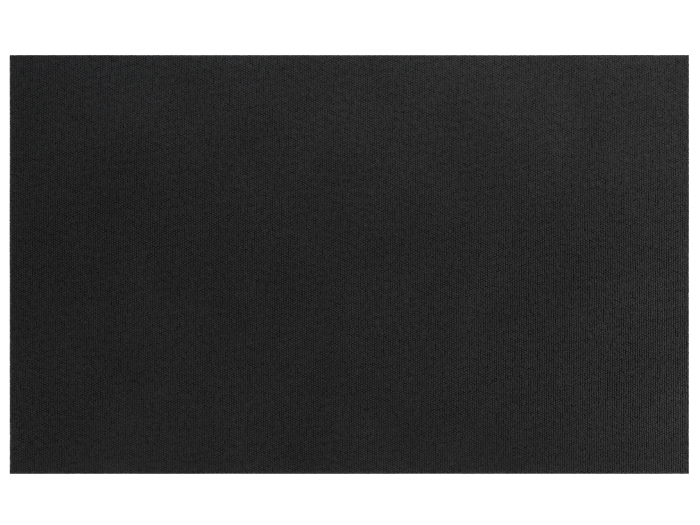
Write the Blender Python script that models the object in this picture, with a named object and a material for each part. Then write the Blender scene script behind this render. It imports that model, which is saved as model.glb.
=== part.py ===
"""A thin door mat: loop pile tufted through a backing cloth, locked with latex, bonded to rubber.

Metres, +Z up. The mat lies flat, with its origin at the middle of its underside. Its long
side runs along X, and the tufted rows run across it, along Y.
"""

import math

import bpy

# The mat as it is cut from the roll.
LENGTH = 0.762
WIDTH = 0.470

# The layers, from the floor up, and the bond line between each two of them.
RUBBER_THICKNESS = 0.0016
LATEX_THICKNESS = 0.0004
CLOTH_THICKNESS = 0.0005
PILE_HEIGHT = 0.0026
BOND_LINE = 0.0003

# The tufted rows. The gauge is the distance between two needles of the tufting machine.
GAUGE = 0.00254
GROOVE_WIDTH = 0.0009
GROOVE_DEPTH = 0.0007

# Where each layer starts.
LATEX_BOTTOM = RUBBER_THICKNESS + BOND_LINE
CLOTH_BOTTOM = LATEX_BOTTOM + LATEX_THICKNESS + BOND_LINE
PILE_BOTTOM = CLOTH_BOTTOM + CLOTH_THICKNESS + BOND_LINE


def clear_scene():
    """Remove every object that the file opened with."""
    for item in list(bpy.data.objects):
        bpy.data.objects.remove(item)


def new_collection(name):
    """Add a collection to the scene."""
    collection = bpy.data.collections.new(name)
    bpy.context.scene.collection.children.link(collection)
    return collection


def new_material(name, colour, roughness):
    """Make a plain material that isn't a metal."""
    material = bpy.data.materials.new(name)
    material.use_nodes = True
    shader = material.node_tree.nodes["Principled BSDF"]
    shader.inputs["Base Color"].default_value = (*colour, 1.0)
    shader.inputs["Roughness"].default_value = roughness
    shader.inputs["Metallic"].default_value = 0.0
    return material


def move_to(piece, collection, parent):
    """Keep a piece in one collection only, and hang it on the mat's own empty."""
    for old in list(piece.users_collection):
        old.objects.unlink(piece)
    collection.objects.link(piece)
    piece.parent = parent


def flat_layer(name, bottom, thickness):
    """Cut one even layer to the mat's outline."""
    bpy.ops.mesh.primitive_cube_add(size=1.0, location=(0.0, 0.0, bottom + thickness / 2))
    layer = bpy.context.object
    layer.name = name
    layer.scale = (LENGTH, WIDTH, thickness)
    bpy.ops.object.transform_apply(location=False, rotation=False, scale=True)
    return layer


def row_profile():
    """The pile seen from the end of its rows: a flat base, and a groove between two crowns."""
    rows = round(LENGTH / GAUGE)
    pitch = LENGTH / rows
    groove_z = PILE_HEIGHT - GROOVE_DEPTH
    points = [(-LENGTH / 2, 0.0), (LENGTH / 2, 0.0)]
    for row in reversed(range(rows)):
        left = -LENGTH / 2 + row * pitch
        right = left + pitch
        points.append((right, groove_z))
        points.append((right - GROOVE_WIDTH / 2, PILE_HEIGHT))
        points.append((left + GROOVE_WIDTH / 2, PILE_HEIGHT))
    points.append((-LENGTH / 2, groove_z))
    return points


def ribbed_pile(name):
    """The pile as one solid, with a rib for each tufted row."""
    outline = bpy.data.curves.new(name, "CURVE")
    outline.dimensions = "2D"
    outline.fill_mode = "BOTH"
    outline.extrude = WIDTH / 2
    points = row_profile()
    spline = outline.splines.new("POLY")
    spline.points.add(len(points) - 1)
    for point, (x, z) in zip(spline.points, points):
        point.co = (x, z, 0.0, 1.0)
    spline.use_cyclic_u = True
    pile = bpy.data.objects.new(name, outline)
    pile.location = (0.0, 0.0, PILE_BOTTOM)
    pile.rotation_euler = (math.radians(90), 0.0, 0.0)
    bpy.context.scene.collection.objects.link(pile)
    return pile


def build_mat():
    """Lay up the four layers."""
    clear_scene()
    collection = new_collection("door_mat")
    mat = bpy.data.objects.new("door_mat", None)
    collection.objects.link(mat)

    rubber = new_material("backing_rubber", (0.018, 0.018, 0.019), 0.75)
    latex = new_material("dry_latex", (0.045, 0.043, 0.040), 0.60)
    cloth = new_material("woven_cloth", (0.030, 0.030, 0.031), 0.90)
    yarn = new_material("pile_yarn", (0.015, 0.015, 0.016), 0.85)

    layers = [
        (flat_layer("rubber_backing", 0.0, RUBBER_THICKNESS), rubber),
        (flat_layer("latex_coat", LATEX_BOTTOM, LATEX_THICKNESS), latex),
        (flat_layer("backing_cloth", CLOTH_BOTTOM, CLOTH_THICKNESS), cloth),
        (ribbed_pile("loop_pile"), yarn),
    ]
    for layer, material in layers:
        layer.data.materials.append(material)
        move_to(layer, collection, mat)


build_mat()
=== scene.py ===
"""A black door mat of low tufted loops on a rubber sheet, laid flat on a pale floor."""

import math

import bmesh
import bpy
import numpy as np
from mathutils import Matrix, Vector


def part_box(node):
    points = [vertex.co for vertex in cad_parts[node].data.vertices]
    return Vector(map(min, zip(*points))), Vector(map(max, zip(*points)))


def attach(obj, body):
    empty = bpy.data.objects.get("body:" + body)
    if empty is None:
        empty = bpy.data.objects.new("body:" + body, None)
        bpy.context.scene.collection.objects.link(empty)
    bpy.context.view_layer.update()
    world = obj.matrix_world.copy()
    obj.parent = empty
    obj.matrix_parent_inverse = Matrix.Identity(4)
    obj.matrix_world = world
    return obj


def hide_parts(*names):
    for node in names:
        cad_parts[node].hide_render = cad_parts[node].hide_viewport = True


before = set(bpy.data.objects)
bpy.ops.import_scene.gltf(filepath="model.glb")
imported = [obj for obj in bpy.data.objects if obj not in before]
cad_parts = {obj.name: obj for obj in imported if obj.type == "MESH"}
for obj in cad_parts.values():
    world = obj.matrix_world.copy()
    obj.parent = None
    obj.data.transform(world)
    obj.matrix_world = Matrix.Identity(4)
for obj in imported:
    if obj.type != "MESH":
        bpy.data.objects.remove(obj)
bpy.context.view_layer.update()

# Lengths are in metres. The mat's long side is X, its rows of loops run along Y, and the pile
# faces up. The near side is the lower one in the picture.

# The mat's outline and layers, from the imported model.
PILE_LOW, PILE_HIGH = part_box("loop_pile")
CLOTH_LOW, CLOTH_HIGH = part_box("backing_cloth")
LATEX_LOW, LATEX_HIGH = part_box("latex_coat")
RUBBER_LOW, RUBBER_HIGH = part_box("rubber_backing")
LENGTH = PILE_HIGH[0] - PILE_LOW[0]
WIDTH = PILE_HIGH[1] - PILE_LOW[1]
SEAM = 0.00001  # clearance on each side where two layers are bonded
HALF_BOND = (CLOTH_LOW[2] - LATEX_HIGH[2]) / 2 - SEAM
LAYER_CELL = 0.005  # the layers are grids of about this cell, fine enough to rise smoothly

# The mat is limp and never quite flat: how far it rises on average, by how much that varies,
# and how long the waves are.
RISE = 0.0005
RISE_SWING = 0.0008
RISE_WAVES = (0.14, 0.36)

# Tufting: a tenth of an inch between rows, and between the stitches of a row.
GAUGE = 0.00254
ROWS = round(LENGTH / GAUGE)
STITCHES = round(WIDTH / GAUGE)
ROW_PITCH = LENGTH / ROWS
STITCH_PITCH = WIDTH / STITCHES
ROWS_PER_PIECE = 30

# How far the stitches drift from even spacing, across and along the rows.
DRIFT_ACROSS = 0.00025
DRIFT_ALONG = 0.00040
DRIFT_WAVES = (0.05, 0.25)

# One loop of yarn: its rings from foot to shoulder, as shares of its height and of its width,
# on a loop that stands free and on one that is pressed flat.
FREE_RINGS = np.array(((0.00, 0.74), (0.45, 0.98), (0.86, 0.78)))
PRESSED_RINGS = np.array(((0.00, 0.74), (0.45, 0.98), (0.95, 0.96)))
# Seen from above, a loop is squeezed to six sides by its two neighbours in the row and the
# four in the rows beside it. CORNER is how far its tips lean out of the row's strip, between
# the loops of the next row.
CORNER = 0.17 * ROW_PITCH
# The six corners: the row's side they are on, whether they lean out or in, and their place
# along the row.
LOOP_OUTLINE = np.array(
    ((1, 1, 0), (1, -1, 1), (-1, 1, 1), (-1, -1, 0), (-1, 1, -1), (1, -1, -1))
)
LOOP_SIDES = len(LOOP_OUTLINE)
LOOP_LEVELS = len(FREE_RINGS)
LOOP_FOOT = CLOTH_HIGH[2] + (PILE_LOW[2] - CLOTH_HIGH[2]) / 2 + SEAM
LOOP_TOP = PILE_HIGH[2] - 0.00012  # a usual loop, which leaves the tallest ones some room
STITCH_GAP = 0.06  # share of a stitch left between the loops of a row, where rows are closed
ROW_GAP = 0.18  # share of the spacing left between rows, where they stand apart

# No two loops are the same: how much they usually differ in height and in width, as shares, in
# the angle they stand at, in radians, and in the lean of their crowns.
HEIGHT_JITTER = 0.02
SWELL_JITTER = 0.02
TWIST_JITTER = 0.06
LEAN_JITTER = 0.00006

# Crowns also lean together, in broad strokes and in small tufts: how far, and over what lengths.
STROKE_LEAN = 0.00030
STROKE_WAVES = (0.02, 0.10)
TUFT_LEAN = 0.00028
TUFT_WAVES = (0.005, 0.016)

# The rows open from left to right and from the far side to the near one, over these shares of
# the mat, measured from its middle. At the far side they still open by PARTED_AT_BACK.
PARTED_RIGHTWARD = (-0.05, 0.40)
PARTED_NEARWARD = (-0.35, 0.10)
PARTED_AT_BACK = 0.25

# How flat the crowns are trodden, 0 to 1, in the near left corner and along the far side, and
# the shares of the mat, from its middle, over which that grows.
CORNER_WEAR = 0.30
CORNER_LEFTWARD = (0.00, 0.35)
CORNER_NEARWARD = (-0.10, 0.20)
FAR_WEAR = 0.65
FAR_BACKWARD = (-0.05, 0.50)

# The knife at the mat's edge: how much an outer loop fills out before it is cut, and the share
# of what was past the cut that it keeps, so that the wall of yarn isn't one exact plane.
FILL_OUT = 2.2
PAST_CUT = 0.02

# Each loop's cell of the bake's map: the centre and radius of its foot and of the rest.
FOOT_SPOT = (0.10, 0.07)
LOOP_SPOT = (0.54, 0.42)

SEED = 20


# ---------------------------------------------------------------- shape of the whole mat

def ripple(x, y, seed, lengths, waves=6):
    """A smooth field of about -1 to 1 made of a few waves, the same on each run."""
    chance = np.random.default_rng(seed)
    total = np.zeros(np.shape(x))
    for _ in range(waves):
        heading = chance.uniform(0, math.tau)
        wavelength = chance.uniform(*lengths)
        shift = chance.uniform(0, math.tau)
        along = x * math.cos(heading) + y * math.sin(heading)
        total = total + np.sin(math.tau * along / wavelength + shift)
    return total / math.sqrt(2 * waves)


def settle(points):
    """Lift points of a flat mat onto its real surface, which lies a little uneven."""
    rise = RISE + RISE_SWING * ripple(points[..., 0], points[..., 1], seed=5, lengths=RISE_WAVES)
    points[..., 2] += np.maximum(rise, 0.0)


def smooth(value, low, high):
    """Go smoothly from 0 at low to 1 at high."""
    share = ((value - low) / (high - low)).clip(0, 1)
    return share * share * (3 - 2 * share)


def cut(values, middles, low, high, pitch):
    """Cut loops off along the mat's edge: those beside it fill out to one straight wall."""
    outward = (middles > high - pitch).astype(float) - (middles < low + pitch)
    offset = values - middles[:, None]
    offset = np.where(offset * outward[:, None] > 0, FILL_OUT * offset, offset)
    values = middles[:, None] + offset
    wall = values.clip(low, high)
    return wall + PAST_CUT * (values - wall)


# ---------------------------------------------------------------- pile

def loop_places():
    """The foot of every loop, row by row, with every second row half a stitch along."""
    row = np.arange(ROWS)
    stitch = np.arange(STITCHES + 1)
    x = PILE_LOW[0] + (row + 0.5) * ROW_PITCH
    offset = 0.5 * (row % 2)
    y = PILE_LOW[1] + (stitch[None, :] + 0.5 - offset[:, None]) * STITCH_PITCH
    x = np.repeat(x[:, None], STITCHES + 1, axis=1)
    inside = y < PILE_HIGH[1] + STITCH_PITCH / 4  # a row's last stitch may fall past the edge
    drift_x = DRIFT_ACROSS * ripple(x, y, seed=21, lengths=DRIFT_WAVES)
    drift_y = DRIFT_ALONG * ripple(x, y, seed=22, lengths=DRIFT_WAVES)
    return x + drift_x, y + drift_y, inside


def nap(x, y, spread, chance, seed):
    """How far each crown leans one way: in broad strokes, in small tufts and loop by loop."""
    strokes = STROKE_LEAN * ripple(x, y, seed=seed, lengths=STROKE_WAVES, waves=12)
    tufts = TUFT_LEAN * ripple(x, y, seed=seed + 1, lengths=TUFT_WAVES, waves=16)
    return strokes + tufts + spread * chance.standard_normal(len(x))


def parted(x, y):
    """How far the rows stand apart, 0 to 1: they open towards the near right corner."""
    right = smooth(x / LENGTH, *PARTED_RIGHTWARD)
    near = smooth(-y / WIDTH, *PARTED_NEARWARD)
    return right * (PARTED_AT_BACK + (1 - PARTED_AT_BACK) * near)


def pressed(x, y):
    """How flat the crowns are, 0 to 1: a little trodden down, and held by the cut at the edge."""
    corner = smooth(-x / LENGTH, *CORNER_LEFTWARD) * smooth(-y / WIDTH, *CORNER_NEARWARD)
    far_side = smooth(y / WIDTH, *FAR_BACKWARD)
    edge_x = np.minimum(x - PILE_LOW[0], PILE_HIGH[0] - x) < ROW_PITCH
    edge_y = np.minimum(y - PILE_LOW[1], PILE_HIGH[1] - y) < STITCH_PITCH
    trodden = np.maximum(CORNER_WEAR * corner, FAR_WEAR * far_side)
    return np.where(edge_x | edge_y, 1.0, trodden)


def loop_outlines(open_rows, swell, twist):
    """The six corners of each loop around its foot, at its full width."""
    side, tip, along = LOOP_OUTLINE.T
    half_width = ROW_PITCH / 2 * (1 - ROW_GAP * open_rows)
    half_length = STITCH_PITCH / 2 * (1 - STITCH_GAP + STITCH_GAP * open_rows)
    out_x = half_width[:, None] * side + CORNER * (1 - open_rows[:, None]) * tip
    out_y = half_length[:, None] * along
    turned_x = swell[:, None] * (out_x - twist[:, None] * out_y)
    turned_y = swell[:, None] * (out_y + twist[:, None] * out_x)
    return turned_x, turned_y


def loop_shapes(x, y, chance):
    """The points of loops standing at x, y: rings from the foot up, then the crown."""
    count = len(x)
    open_rows = parted(x, y)
    flat = pressed(x, y)[:, None]
    height_jitter = HEIGHT_JITTER * chance.standard_normal(count).clip(-2, 2)
    height = (LOOP_TOP - LOOP_FOOT) * (1 + height_jitter)
    swell = 1 + SWELL_JITTER * chance.standard_normal(count)
    twist = TWIST_JITTER * chance.standard_normal(count)
    spread = LEAN_JITTER * (1 + open_rows)
    nap_x = nap(x, y, spread, chance, seed=31)
    nap_y = nap(x, y, spread, chance, seed=41)

    out_x, out_y = loop_outlines(open_rows, swell, twist)
    points = np.zeros((count, LOOP_SIDES * LOOP_LEVELS + 1, 3))
    for level in range(LOOP_LEVELS):
        share = (1 - flat) * FREE_RINGS[level] + flat * PRESSED_RINGS[level]
        up, wide = share.T
        ring = slice(level * LOOP_SIDES, (level + 1) * LOOP_SIDES)
        points[:, ring, 0] = wide[:, None] * out_x + (up * nap_x)[:, None]
        points[:, ring, 1] = wide[:, None] * out_y + (up * nap_y)[:, None]
        points[:, ring, 2] = LOOP_FOOT + (up * height)[:, None]
    points[:, -1, 0] = nap_x
    points[:, -1, 1] = nap_y
    points[:, -1, 2] = LOOP_FOOT + height
    points[:, :, 0] = cut(points[:, :, 0] + x[:, None], x, PILE_LOW[0], PILE_HIGH[0], ROW_PITCH)
    points[:, :, 1] = cut(points[:, :, 1] + y[:, None], y, PILE_LOW[1], PILE_HIGH[1], STITCH_PITCH)
    return points


def loop_faces():
    """The faces of one loop, by point: its foot, its sides and its crown."""
    faces = [list(range(LOOP_SIDES))[::-1]]
    for ring in range(LOOP_LEVELS - 1):
        for side in range(LOOP_SIDES):
            a = ring * LOOP_SIDES + side
            b = ring * LOOP_SIDES + (side + 1) % LOOP_SIDES
            faces.append([a, b, b + LOOP_SIDES, a + LOOP_SIDES])
    top = LOOP_SIDES * LOOP_LEVELS
    last = top - LOOP_SIDES
    for side in range(LOOP_SIDES):
        faces.append([last + side, last + (side + 1) % LOOP_SIDES, top])
    return faces


def many_loops(name, points):
    """One mesh of many loops, which all have the same faces."""
    faces = loop_faces()
    count, per_loop, _ = points.shape
    corners = np.concatenate([np.array(face) for face in faces])
    sizes = np.array([len(face) for face in faces])
    all_corners = (corners[None, :] + per_loop * np.arange(count)[:, None]).ravel()
    all_sizes = np.tile(sizes, count)
    starts = np.concatenate([[0], np.cumsum(all_sizes)[:-1]])

    mesh = bpy.data.meshes.new(name)
    mesh.vertices.add(count * per_loop)
    mesh.vertices.foreach_set("co", points.reshape(-1).astype(np.float32))
    mesh.loops.add(len(all_corners))
    mesh.loops.foreach_set("vertex_index", all_corners.astype(np.int32))
    mesh.polygons.add(len(all_sizes))
    mesh.polygons.foreach_set("loop_start", starts.astype(np.int32))
    mesh.update(calc_edges=True)
    rounded = np.ones(len(all_sizes), bool)
    rounded[::len(faces)] = False  # the foot of each loop stays flat
    mesh.polygons.foreach_set("use_smooth", rounded)
    map_loops(mesh, faces, count)
    mark_heights(mesh, count)
    mesh.validate()
    return mesh


def map_loops(mesh, faces, count):
    """Give each loop its own cell of the bake's map, with its foot in the cell's corner."""
    cells = math.ceil(math.sqrt(count))
    spot = []
    for number, face in enumerate(faces):
        for point in face:
            ring, side = divmod(point, LOOP_SIDES)
            angle = math.tau * side / LOOP_SIDES
            centre, radius = FOOT_SPOT
            if number > 0:
                centre, radius = LOOP_SPOT
                radius *= 1 - ring / LOOP_LEVELS
            spot.append((centre + radius * math.cos(angle), centre + radius * math.sin(angle)))
    spot = np.array(spot)
    cell = np.stack([np.arange(count) % cells, np.arange(count) // cells], axis=1)
    uv = (cell[:, None, :] + spot[None, :, :]) / cells
    layer = mesh.uv_layers.new(name="OFBake")
    layer.data.foreach_set("uv", uv.reshape(-1).astype(np.float32))


def mark_heights(mesh, count):
    """Note how far up its loop each point is, 0 to 1, for the yarn's painted shade towards the
    roots.
    """
    ups = np.append(np.repeat(FREE_RINGS[:, 0], LOOP_SIDES), 1.0)
    height = mesh.attributes.new("height", "FLOAT", "POINT")
    height.data.foreach_set("value", np.tile(ups, count).astype(np.float32))


def make_pile(material):
    """The pile, in pieces of some rows each."""
    chance = np.random.default_rng(SEED)
    x, y, inside = loop_places()
    pieces = []
    for number, first in enumerate(range(0, ROWS, ROWS_PER_PIECE)):
        rows = slice(first, min(first + ROWS_PER_PIECE, ROWS))
        keep = inside[rows]
        points = loop_shapes(x[rows][keep], y[rows][keep], chance)
        settle(points)
        name = f"pile_rows_{number + 1:02d}"
        piece = bpy.data.objects.new(name, many_loops(name, points))
        piece.data.materials.append(material)
        bpy.context.scene.collection.objects.link(piece)
        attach(piece, "root")
        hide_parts("loop_pile")
        pieces.append(piece)
    return pieces


# ---------------------------------------------------------------- layers under the pile

def make_layer(name, node, bottom, top, material):
    """One even layer of the mat, as a fine grid with a thickness upwards."""
    grid = bmesh.new()
    across = round(LENGTH / LAYER_CELL)
    along = round(WIDTH / LAYER_CELL)
    bmesh.ops.create_grid(grid, x_segments=across, y_segments=along, size=0.5)
    mesh = bpy.data.meshes.new(name)
    grid.to_mesh(mesh)
    grid.free()
    points = np.zeros(len(mesh.vertices) * 3, np.float32)
    mesh.vertices.foreach_get("co", points)
    points = points.reshape(-1, 3)
    points[:, 0] *= LENGTH
    points[:, 1] *= WIDTH
    points[:, 2] = bottom
    settle(points)
    mesh.vertices.foreach_set("co", points.ravel())
    layer = bpy.data.objects.new(name, mesh)
    bpy.context.scene.collection.objects.link(layer)
    mesh.materials.append(material)
    thick = layer.modifiers.new("thickness", "SOLIDIFY")
    thick.thickness = top - bottom
    thick.offset = 1.0
    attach(layer, "root")
    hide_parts(node)
    return layer


# ---------------------------------------------------------------- nodes for the materials

# Painted light along the cut edges, a paler strip: how much paler it is, how wide, and where
#  it fades out, as shares of its width.
EDGE_LIGHT = 0.34
EDGE_LIGHT_WIDTH = 0.020
EDGE_LIGHT_FADE = (0.3, 1.5)


def grey(value):
    """A colour without a tint."""
    return (value, value, value)


def new_material(name):
    """A node material, with its node tree and its Principled shader."""
    material = bpy.data.materials.new(name)
    material.use_nodes = True
    tree = material.node_tree
    return material, tree, tree.nodes["Principled BSDF"]


def noise(tree, place, scale, detail=3.0, roughness=0.55):
    """A noise texture at a place in the object."""
    node = tree.nodes.new("ShaderNodeTexNoise")
    node.inputs["Scale"].default_value = scale
    node.inputs["Detail"].default_value = detail
    node.inputs["Roughness"].default_value = roughness
    tree.links.new(place, node.inputs["Vector"])
    return node.outputs["Fac"]


def ramp(tree, value, low, high, colour_low, colour_high):
    """Blend between two colours as a value goes from low to high."""
    node = tree.nodes.new("ShaderNodeValToRGB")
    node.color_ramp.elements[0].position = low
    node.color_ramp.elements[0].color = (*colour_low, 1.0)
    node.color_ramp.elements[1].position = high
    node.color_ramp.elements[1].color = (*colour_high, 1.0)
    tree.links.new(value, node.inputs["Fac"])
    return node.outputs["Color"]


def between(tree, value, low, high):
    """Turn a value of 0 to 1 into one of low to high."""
    node = tree.nodes.new("ShaderNodeMapRange")
    node.inputs["To Min"].default_value = low
    node.inputs["To Max"].default_value = high
    tree.links.new(value, node.inputs["Value"])
    return node.outputs["Result"]


def object_place(tree, scale=(1.0, 1.0, 1.0)):
    """Object coordinates, stretched along an axis where a pattern runs along it."""
    coordinates = tree.nodes.new("ShaderNodeTexCoord")
    mapping = tree.nodes.new("ShaderNodeMapping")
    mapping.inputs["Scale"].default_value = scale
    tree.links.new(coordinates.outputs["Object"], mapping.inputs["Vector"])
    return mapping.outputs["Vector"]


def bump(tree, shader, height, distance, strength):
    """Roughen the surface by a height, up to a distance in metres."""
    node = tree.nodes.new("ShaderNodeBump")
    node.inputs["Distance"].default_value = distance
    node.inputs["Strength"].default_value = strength
    tree.links.new(height, node.inputs["Height"])
    tree.links.new(node.outputs["Normal"], shader.inputs["Normal"])


def multiply(tree, a, b):
    """The product of two colours, or of a colour and a value."""
    node = tree.nodes.new("ShaderNodeMix")
    node.data_type = "RGBA"
    node.blend_type = "MULTIPLY"
    node.inputs["Factor"].default_value = 1.0
    tree.links.new(a, node.inputs["A"])
    tree.links.new(b, node.inputs["B"])
    return node.outputs["Result"]


def edge_distance(tree, place):
    """How far a place is from the nearest of the mat's four edges, in metres."""
    away = tree.nodes.new("ShaderNodeVectorMath")
    away.operation = "ABSOLUTE"
    tree.links.new(place, away.inputs[0])
    reach = tree.nodes.new("ShaderNodeVectorMath")
    reach.operation = "SUBTRACT"
    reach.inputs[0].default_value = (LENGTH / 2, WIDTH / 2, 1.0)
    tree.links.new(away.outputs["Vector"], reach.inputs[1])
    split = tree.nodes.new("ShaderNodeSeparateXYZ")
    tree.links.new(reach.outputs["Vector"], split.inputs[0])
    nearest = tree.nodes.new("ShaderNodeMath")
    nearest.operation = "MINIMUM"
    tree.links.new(split.outputs["X"], nearest.inputs[0])
    tree.links.new(split.outputs["Y"], nearest.inputs[1])
    return nearest.outputs["Value"]


def painted_edge_light(tree, place):
    """Painted light: 1 in the middle of the mat, rising to nearly one plus the strip's paleness
    along its cut edges.
    """
    uneven = tree.nodes.new("ShaderNodeMath")
    uneven.operation = "MULTIPLY_ADD"
    uneven.inputs[1].default_value = EDGE_LIGHT_WIDTH
    tree.links.new(noise(tree, place, scale=25.0), uneven.inputs[0])
    tree.links.new(edge_distance(tree, place), uneven.inputs[2])
    fade = tree.nodes.new("ShaderNodeMapRange")
    fade.interpolation_type = "SMOOTHSTEP"
    fade.inputs["From Min"].default_value = EDGE_LIGHT_FADE[0] * EDGE_LIGHT_WIDTH
    fade.inputs["From Max"].default_value = EDGE_LIGHT_FADE[1] * EDGE_LIGHT_WIDTH
    fade.inputs["To Min"].default_value = 1 + EDGE_LIGHT
    fade.inputs["To Max"].default_value = 1.0
    tree.links.new(uneven.outputs["Value"], fade.inputs["Value"])
    return fade.outputs["Result"]


# ---------------------------------------------------------------- materials

DYE_DARK = (0.0232, 0.0225, 0.0210)
DYE_LIGHT = (0.0314, 0.0305, 0.0287)
SHADE_DARK = grey(0.62)
SHADE_LIGHT = (1.14, 1.16, 1.20)
THREAD_DARK = (0.018, 0.018, 0.019)
THREAD_LIGHT = (0.030, 0.030, 0.031)
THREAD_GAP = (0.006, 0.006, 0.006)
LATEX_DARK = (0.022, 0.021, 0.020)
LATEX_LIGHT = (0.045, 0.043, 0.040)
RUBBER_DARK = (0.014, 0.014, 0.0145)
RUBBER_BLOOM = (0.026, 0.026, 0.026)


def yarn_material():
    """Matt black bulked yarn: fibres, uneven dye, broad shading, painted shade towards the roots
    and painted light along the edges.
    """
    material, tree, shader = new_material("pile_yarn")
    place = object_place(tree)
    fibres = noise(tree, object_place(tree, (1.0, 0.25, 1.0)), scale=9000.0, detail=2.0)
    loops = noise(tree, place, scale=420.0, detail=1.0)
    patches = noise(tree, place, scale=10.0, detail=5.0, roughness=0.70)
    height = tree.nodes.new("ShaderNodeAttribute")
    height.attribute_name = "height"

    dye = ramp(tree, loops, 0.30, 0.72, DYE_DARK, DYE_LIGHT)
    shade = ramp(tree, patches, 0.25, 0.75, SHADE_DARK, SHADE_LIGHT)
    # Painted light: the yarn is made paler along the cut edges.
    painted_shading = multiply(tree, shade, painted_edge_light(tree, place))
    # Painted shade: darker down towards the roots between the loops, paler at the crowns.
    painted_root_shade = ramp(tree, height.outputs["Fac"], 0.45, 1.0, grey(0.55), grey(1.25))
    painted_shading = multiply(tree, painted_shading, painted_root_shade)
    strands = ramp(tree, fibres, 0.35, 0.65, grey(0.75), grey(1.0))
    colour = multiply(tree, multiply(tree, dye, painted_shading), strands)
    tree.links.new(colour, shader.inputs["Base Color"])
    tree.links.new(between(tree, fibres, 0.45, 0.80), shader.inputs["Roughness"])
    shader.inputs["Specular IOR Level"].default_value = 0.35
    shader.inputs["Sheen Weight"].default_value = 0.02
    shader.inputs["Sheen Roughness"].default_value = 0.5
    bump(tree, shader, fibres, distance=0.00012, strength=0.6)
    return material


def cloth_material():
    """The woven cloth that the yarn is tufted through."""
    material, tree, shader = new_material("woven_cloth")
    weave = tree.nodes.new("ShaderNodeTexBrick")
    weave.inputs["Scale"].default_value = 420.0
    weave.inputs["Color1"].default_value = (*THREAD_DARK, 1.0)
    weave.inputs["Color2"].default_value = (*THREAD_LIGHT, 1.0)
    weave.inputs["Mortar"].default_value = (*THREAD_GAP, 1.0)
    tree.links.new(object_place(tree), weave.inputs["Vector"])
    tree.links.new(weave.outputs["Color"], shader.inputs["Base Color"])
    shader.inputs["Roughness"].default_value = 0.9
    shader.inputs["Specular IOR Level"].default_value = 0.15
    bump(tree, shader, weave.outputs["Fac"], distance=-0.0001, strength=0.5)
    return material


def latex_material():
    """Dull latex, dried uneven around the feet of the loops."""
    material, tree, shader = new_material("dry_latex")
    lumps = noise(tree, object_place(tree), scale=700.0, detail=4.0)
    colour = ramp(tree, lumps, 0.3, 0.7, LATEX_DARK, LATEX_LIGHT)
    tree.links.new(colour, shader.inputs["Base Color"])
    tree.links.new(between(tree, lumps, 0.55, 0.75), shader.inputs["Roughness"])
    shader.inputs["Specular IOR Level"].default_value = 0.25
    bump(tree, shader, lumps, distance=0.0002, strength=0.5)
    return material


def rubber_material():
    """Sheet rubber with a fine pebbled grain and a little chalky bloom."""
    material, tree, shader = new_material("backing_rubber")
    place = object_place(tree)
    grain = noise(tree, place, scale=1400.0, detail=2.0)
    bloom = noise(tree, place, scale=30.0, detail=4.0)
    colour = ramp(tree, bloom, 0.35, 0.8, RUBBER_DARK, RUBBER_BLOOM)
    tree.links.new(colour, shader.inputs["Base Color"])
    tree.links.new(between(tree, grain, 0.60, 0.85), shader.inputs["Roughness"])
    shader.inputs["Specular IOR Level"].default_value = 0.3
    bump(tree, shader, grain, distance=0.00015, strength=0.5)
    return material


# ---------------------------------------------------------------- studio

NEUTRAL = (1.0, 1.0, 1.0)
COOL = (0.79, 0.84, 1.0)
# Each soft box: its name, place, size, power in watts and colour.
SOFT_BOXES = (
    ("front_light", (-0.02, -0.62, 0.35), (1.10, 0.20), 2.1, NEUTRAL),
    ("back_light", (-0.20, 0.90, 0.50), (0.80, 0.20), 3.8, COOL),
    ("near_back_light", (0.28, 0.48, 0.30), (0.70, 0.10), 1.3, NEUTRAL),
    ("right_light", (0.62, -0.15, 0.12), (0.35, 0.08), 1.25, NEUTRAL),
)
FLOOR_RADIUS = 40.0
FLOOR_GLOW = 0.95
# The room's light by the direction's height: pale walls up to WALL_TOP, then a dark ceiling.
WALL_GLOW = grey(1.25)
WALL_TOP = 0.12
CEILING_GLOW = grey(0.10)
CEILING_EDGE = 0.25
ROOM_STRENGTH = 0.8
LENS = 85.0
SENSOR = 36.0
SEEN_WIDTH = LENGTH * 1.03
AIM = (0.0007, 0.0022)  # the mat isn't quite in the middle of the picture


def make_floor():
    """A wide pale floor, lit so that it goes to white."""
    bpy.ops.mesh.primitive_circle_add(vertices=96, radius=FLOOR_RADIUS, fill_type="NGON")
    floor = bpy.context.object
    floor.name = "floor"
    material, tree, shader = new_material("pale_floor")
    shader.inputs["Base Color"].default_value = (0.86, 0.86, 0.86, 1.0)
    shader.inputs["Roughness"].default_value = 0.9
    shader.inputs["Specular IOR Level"].default_value = 0.0
    shader.inputs["Emission Color"].default_value = (1.0, 1.0, 1.0, 1.0)
    shader.inputs["Emission Strength"].default_value = FLOOR_GLOW
    floor.data.materials.append(material)


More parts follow.
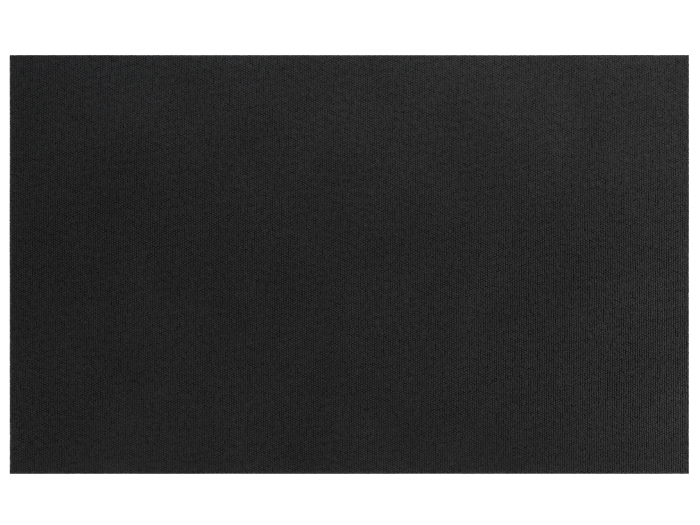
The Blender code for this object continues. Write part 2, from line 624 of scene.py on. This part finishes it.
def soft_box(name, place, size, power, colour):
    """A rectangular light that faces the middle of the mat."""
    lamp = bpy.data.lights.new(name, "AREA")
    lamp.shape = "RECTANGLE"
    lamp.size, lamp.size_y = size
    lamp.energy = power
    lamp.color = colour
    box = bpy.data.objects.new(name, lamp)
    box.location = place
    box.rotation_euler = (-Vector(place)).to_track_quat("-Z", "Y").to_euler()
    box.visible_camera = False
    bpy.context.scene.collection.objects.link(box)


def make_world():
    """Light from the room's pale walls, with a dark ceiling over the mat."""
    world = bpy.data.worlds.new("room")
    bpy.context.scene.world = world
    world.use_nodes = True
    tree = world.node_tree
    back = tree.nodes["Background"]
    coordinates = tree.nodes.new("ShaderNodeTexCoord")
    split = tree.nodes.new("ShaderNodeSeparateXYZ")
    tree.links.new(coordinates.outputs["Generated"], split.inputs[0])
    glow = ramp(tree, split.outputs["Z"], WALL_TOP, CEILING_EDGE, WALL_GLOW, CEILING_GLOW)
    tree.links.new(glow, back.inputs["Color"])
    back.inputs["Strength"].default_value = ROOM_STRENGTH


def make_camera():
    """Look straight down, with the mat filling nearly the whole width."""
    lens = bpy.data.cameras.new("camera")
    lens.lens = LENS
    lens.sensor_width = SENSOR
    camera = bpy.data.objects.new("camera", lens)
    camera.location = (*AIM, PILE_HIGH[2] + SEEN_WIDTH * LENS / SENSOR)
    bpy.context.scene.collection.objects.link(camera)
    bpy.context.scene.camera = camera


# ---------------------------------------------------------------- the whole scene

make_floor()
make_world()
make_camera()
for settings in SOFT_BOXES:
    soft_box(*settings)
bpy.context.scene.view_settings.view_transform = "Standard"

make_layer(
    "rubber_sheet", "rubber_backing",
    RUBBER_LOW[2], RUBBER_HIGH[2] + HALF_BOND, rubber_material(),
)
latex = make_layer(
    "latex_layer", "latex_coat",
    LATEX_LOW[2] - HALF_BOND, LATEX_HIGH[2] + HALF_BOND, latex_material(),
)
cloth = make_layer(
    "cloth_layer", "backing_cloth",
    CLOTH_LOW[2] - HALF_BOND, CLOTH_HIGH[2] + HALF_BOND, cloth_material(),
)
pile = make_pile(yarn_material())
